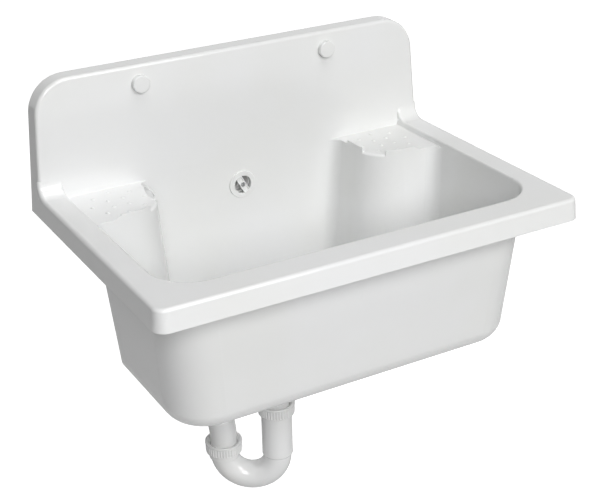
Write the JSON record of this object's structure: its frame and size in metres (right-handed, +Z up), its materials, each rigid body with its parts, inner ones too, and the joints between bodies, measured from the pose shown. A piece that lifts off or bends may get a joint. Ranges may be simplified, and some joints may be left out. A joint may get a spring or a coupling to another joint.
{
  "type": "mop service sink",
  "caption": "Wall-hung plastic mop service sink with splashback, raised soap shelves, overflow, strainer waste and a swivelling tube trap with union nuts.",
  "frame": {"origin": "on the wall plane, on the centre line, level with the top of the rim", "axes": "+X to the right seen from the front, +Y into the wall, +Z up"},
  "size_m": [0.589, 0.457, 0.6587],
  "materials": {
    "sink_plastic": "clear glossy white moulded plastic",
    "cap_plastic": "glossy white moulded plastic",
    "trap_plastic": "glossy white moulded plastic",
    "pipe_plastic": "satin white plastic",
    "steel": "bright stainless steel",
    "rubber": "black rubber"
  },
  "bodies": {
    "sink": {"basin": "sink_plastic", "cap_seats": "cap_plastic", "wall_screws": "steel", "overflow_ring": "sink_plastic", "overflow_screw": "steel", "overflow_seal": "rubber", "overflow_elbow": "pipe_plastic", "overflow_pipe": "pipe_plastic", "pipe_clips": "steel", "strainer": "steel", "strainer_screw": "steel", "strainer_seal": "rubber", "waste_seal": "rubber", "waste_body": "trap_plastic", "waste_washer": "rubber", "dip_tube": "trap_plastic"},
    "left_cap": {"cap_left": "cap_plastic"},
    "right_cap": {"cap_right": "cap_plastic"},
    "waste_collar": {"waste_ring": "trap_plastic"},
    "waste_union": {"waste_nut": "trap_plastic"},
    "trap_bend": {"trap": "trap_plastic", "inlet_seal": "rubber", "outlet_seal": "rubber"},
    "inlet_collar": {"inlet_ring": "trap_plastic"},
    "inlet_union": {"inlet_nut": "trap_plastic"},
    "outlet_collar": {"outlet_ring": "trap_plastic"},
    "outlet_union": {"outlet_nut": "trap_plastic"},
    "outlet_tube": {"outlet_bend": "trap_plastic"},
    "rosette": {"wall_rosette": "trap_plastic"}
  },
  "joints": [
    {"name": "left_cap_pull", "type": "slide", "parent": "sink", "child": "left_cap", "axis": [0, -1, 0], "range_m": [0, 0.02]},
    {"name": "right_cap_pull", "type": "slide", "parent": "sink", "child": "right_cap", "axis": [0, -1, 0], "range_m": [0, 0.02]},
    {"name": "waste_collar_drop", "type": "slide", "parent": "sink", "child": "waste_collar", "axis": [0, 0, -1], "range_m": [0, 0.00902]},
    {"name": "waste_union_turn", "type": "hinge", "parent": "waste_collar", "child": "waste_union", "pos_m": [0, -0.1113, -0.285], "axis": [0, 0, -1], "range_deg": [0, 1080]},
    {"name": "trap_swivel", "type": "hinge", "parent": "sink", "child": "trap_bend", "pos_m": [0, -0.1113, -0.37], "axis": [0, 0, 1], "range_deg": [-25, 30]},
    {"name": "inlet_collar_lift", "type": "slide", "parent": "trap_bend", "child": "inlet_collar", "axis": [0, 0, 1], "range_m": [0, 0.00902]},
    {"name": "inlet_union_turn", "type": "hinge", "parent": "inlet_collar", "child": "inlet_union", "pos_m": [0, -0.1113, -0.367], "axis": [0, 0, 1], "range_deg": [0, 1080]},
    {"name": "outlet_collar_lift", "type": "slide", "parent": "trap_bend", "child": "outlet_collar", "axis": [0, 0, 1], "range_m": [0, 0.00902]},
    {"name": "outlet_union_turn", "type": "hinge", "parent": "outlet_collar", "child": "outlet_union", "pos_m": [-0.06601, -0.0661, -0.436], "axis": [0, 0, 1], "range_deg": [0, 1080]},
    {"name": "outlet_swivel", "type": "hinge", "parent": "trap_bend", "child": "outlet_tube", "pos_m": [-0.06601, -0.0661, -0.435], "axis": [0, 0, 1], "range_deg": [-45, 45]},
    {"name": "rosette_slide", "type": "slide", "parent": "outlet_tube", "child": "rosette", "axis": [0, -1, 0], "range_m": [0, 0.012]}
  ],
  "couplings": [
    {"joint": "waste_collar_drop", "follows": "waste_union_turn", "m_per_rad": 0.00047746},
    {"joint": "inlet_collar_lift", "follows": "inlet_union_turn", "m_per_rad": 0.00047746},
    {"joint": "outlet_collar_lift", "follows": "outlet_union_turn", "m_per_rad": 0.00047746}
  ]
}
